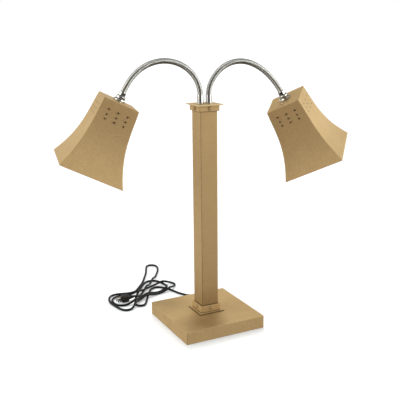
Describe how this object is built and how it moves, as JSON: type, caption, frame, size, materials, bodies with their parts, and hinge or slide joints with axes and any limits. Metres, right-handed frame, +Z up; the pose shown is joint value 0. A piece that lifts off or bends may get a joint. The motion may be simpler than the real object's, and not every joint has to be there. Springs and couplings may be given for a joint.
{
  "type": "two-lamp food warmer",
  "caption": "Free-standing carving-station heat lamp: weighted square base, square post, two goosenecks and two flared square shades over reflector lamps.",
  "frame": {"origin": "centre of the non-slip pad's underside, on the table", "axes": "+Z up the post, X across the two arms (left lamp towards -X), -Y the front of the base, +Y the cord side"},
  "size_m": [0.888, 0.7392, 0.7899],
  "materials": {
    "champagne_paint": "satin metallic champagne powder coat",
    "champagne_shade": "satin metallic champagne powder coat on spun-flat aluminium sheet",
    "pad_rubber": "matte",
    "plate_steel": "plain mill finish",
    "ballast_iron": "rough cast",
    "moulded_black": "moulded matte",
    "switch_black": "moulded satin",
    "cord_jacket": "smooth jacket",
    "terminal_nylon": "moulded",
    "lead_sleeve": "sleeving",
    "prong_brass": "nickel-washed brass",
    "chrome_fittings": "polished chrome",
    "zinc_steel": "zinc plated",
    "porcelain": "glazed",
    "lamp_glass": "frosted face, silvered reflector"
  },
  "bodies": {
    "base": {"non_slip_pad": "pad_rubber", "base_bottom_plate": "plate_steel", "ballast_block": "ballast_iron", "base_cover": "champagne_paint", "post": "champagne_paint", "lower_collar": "champagne_paint", "upper_collar": "champagne_paint", "lower_collar_screw_front": "champagne_paint", "lower_collar_screw_rear": "champagne_paint", "lower_collar_screw_right": "champagne_paint", "lower_collar_screw_left": "champagne_paint", "upper_collar_screw_front": "champagne_paint", "upper_collar_screw_rear": "champagne_paint", "upper_collar_screw_right": "champagne_paint", "upper_collar_screw_left": "champagne_paint", "cord_strain_relief": "moulded_black", "switch_housing": "switch_black", "terminal_block": "terminal_nylon", "left_lamp_lead": "lead_sleeve", "right_lamp_lead": "lead_sleeve", "supply_lead": "lead_sleeve", "switch_lead": "lead_sleeve", "power_cord": "cord_jacket", "plug_body": "moulded_black", "plug_prongs": "prong_brass", "left_neck_ferrule": "chrome_fittings", "left_neck_locknut": "zinc_steel", "right_neck_ferrule": "chrome_fittings", "right_neck_locknut": "zinc_steel"},
    "rocker": {"switch_rocker": "switch_black"},
    "left_neck_1": {"left_neck_segment_1": "chrome_fittings"},
    "left_neck_2": {"left_neck_segment_2": "chrome_fittings"},
    "left_neck_3": {"left_neck_segment_3": "chrome_fittings"},
    "left_neck_4": {"left_neck_segment_4": "chrome_fittings"},
    "left_neck_5": {"left_neck_segment_5": "chrome_fittings"},
    "left_neck_6": {"left_neck_segment_6": "chrome_fittings", "left_swivel_stem": "chrome_fittings", "left_stem_nut": "zinc_steel"},
    "left_shade": {"left_shade": "champagne_shade", "left_swivel_cup": "chrome_fittings", "left_bracket_screw": "chrome_fittings", "left_socket_bracket": "zinc_steel", "left_lamp_socket": "porcelain", "left_bulb_cap": "prong_brass", "left_bulb_glass": "lamp_glass"},
    "right_neck_1": {"right_neck_segment_1": "chrome_fittings"},
    "right_neck_2": {"right_neck_segment_2": "chrome_fittings"},
    "right_neck_3": {"right_neck_segment_3": "chrome_fittings"},
    "right_neck_4": {"right_neck_segment_4": "chrome_fittings"},
    "right_neck_5": {"right_neck_segment_5": "chrome_fittings"},
    "right_neck_6": {"right_neck_segment_6": "chrome_fittings", "right_swivel_stem": "chrome_fittings", "right_stem_nut": "zinc_steel"},
    "right_shade": {"right_shade": "champagne_shade", "right_swivel_cup": "chrome_fittings", "right_bracket_screw": "chrome_fittings", "right_socket_bracket": "zinc_steel", "right_lamp_socket": "porcelain", "right_bulb_cap": "prong_brass", "right_bulb_glass": "lamp_glass"}
  },
  "joints": [
    {"name": "power_switch_rock", "type": "hinge", "parent": "base", "child": "rocker", "pos_m": [-0.044, 0.1286, 0.021], "axis": [0, 0, 1], "range_deg": [-18, 0]},
    {"name": "left_neck_bend", "type": "hinge", "parent": "base", "child": "left_neck_1", "pos_m": [-0.0135, 0, 0.6869], "axis": [0.1805, 0.9836, 0], "range_deg": [-11, 12]},
    {"name": "left_neck_sway", "type": "hinge", "parent": "left_neck_1", "child": "left_neck_2", "pos_m": [-0.02804, 0.00257, 0.73459], "axis": [-0.829, 0.1522, -0.5381], "range_deg": [-11, 11]},
    {"name": "left_neck_bend_2", "type": "hinge", "parent": "left_neck_2", "child": "left_neck_3", "pos_m": [-0.06399, 0.00901, 0.76867], "axis": [0.1805, 0.9836, 0], "range_deg": [-11, 12]},
    {"name": "left_neck_sway_2", "type": "hinge", "parent": "left_neck_3", "child": "left_neck_4", "pos_m": [-0.11153, 0.01724, 0.78184], "axis": [-0.0341, 0.0063, -0.9994], "range_deg": [-11, 11]},
    {"name": "left_neck_bend_3", "type": "hinge", "parent": "left_neck_4", "child": "left_neck_5", "pos_m": [-0.16005, 0.02525, 0.77247], "axis": [0.1805, 0.9836, 0], "range_deg": [-11, 12]},
    {"name": "left_neck_sway_3", "type": "hinge", "parent": "left_neck_5", "child": "left_neck_6", "pos_m": [-0.20047, 0.0318, 0.74355], "axis": [0.7146, -0.1312, -0.6871], "range_deg": [-11, 11]},
    {"name": "left_shade_swivel", "type": "hinge", "parent": "left_neck_6", "child": "left_shade", "pos_m": [-0.24, 0.0417, 0.6769], "axis": [0.4291, -0.14, 0.8923], "range_deg": [-90, 90]},
    {"name": "right_neck_bend", "type": "hinge", "parent": "base", "child": "right_neck_1", "pos_m": [0.0135, 0, 0.6869], "axis": [-0.1925, -0.9813, 0], "range_deg": [-11, 12]},
    {"name": "right_neck_sway", "type": "hinge", "parent": "right_neck_1", "child": "right_neck_2", "pos_m": [0.02879, -0.00316, 0.73395], "axis": [0.8136, -0.1596, -0.5591], "range_deg": [-11, 11]},
    {"name": "right_neck_bend_2", "type": "hinge", "parent": "right_neck_2", "child": "right_neck_3", "pos_m": [0.06526, -0.01038, 0.76684], "axis": [-0.1925, -0.9813, 0], "range_deg": [-11, 12]},
    {"name": "right_neck_sway_2", "type": "hinge", "parent": "right_neck_3", "child": "right_neck_4", "pos_m": [0.11312, -0.01971, 0.77548], "axis": [-0.1009, 0.0198, -0.9947], "range_deg": [-11, 11]},
    {"name": "right_neck_bend_3", "type": "hinge", "parent": "right_neck_4", "child": "right_neck_5", "pos_m": [0.15929, -0.02868, 0.75909], "axis": [-0.1925, -0.9813, 0], "range_deg": [-11, 12]},
    {"name": "right_neck_sway_3", "type": "hinge", "parent": "right_neck_5", "child": "right_neck_6", "pos_m": [0.19733, -0.03612, 0.72746], "axis": [-0.7131, 0.1399, -0.687], "range_deg": [-11, 11]},
    {"name": "right_shade_swivel", "type": "hinge", "parent": "right_neck_6", "child": "right_shade", "pos_m": [0.2413, -0.045, 0.6637], "axis": [-0.508, 0.104, 0.855], "range_deg": [-90, 90]}
  ],
  "couplings": [
    {"joint": "left_neck_bend_2", "follows": "left_neck_bend", "ratio": 1},
    {"joint": "left_neck_bend_3", "follows": "left_neck_bend", "ratio": 1},
    {"joint": "left_neck_sway_2", "follows": "left_neck_sway", "ratio": 1},
    {"joint": "left_neck_sway_3", "follows": "left_neck_sway", "ratio": 1},
    {"joint": "right_neck_bend_2", "follows": "right_neck_bend", "ratio": 1},
    {"joint": "right_neck_bend_3", "follows": "right_neck_bend", "ratio": 1},
    {"joint": "right_neck_sway_2", "follows": "right_neck_sway", "ratio": 1},
    {"joint": "right_neck_sway_3", "follows": "right_neck_sway", "ratio": 1}
  ]
}
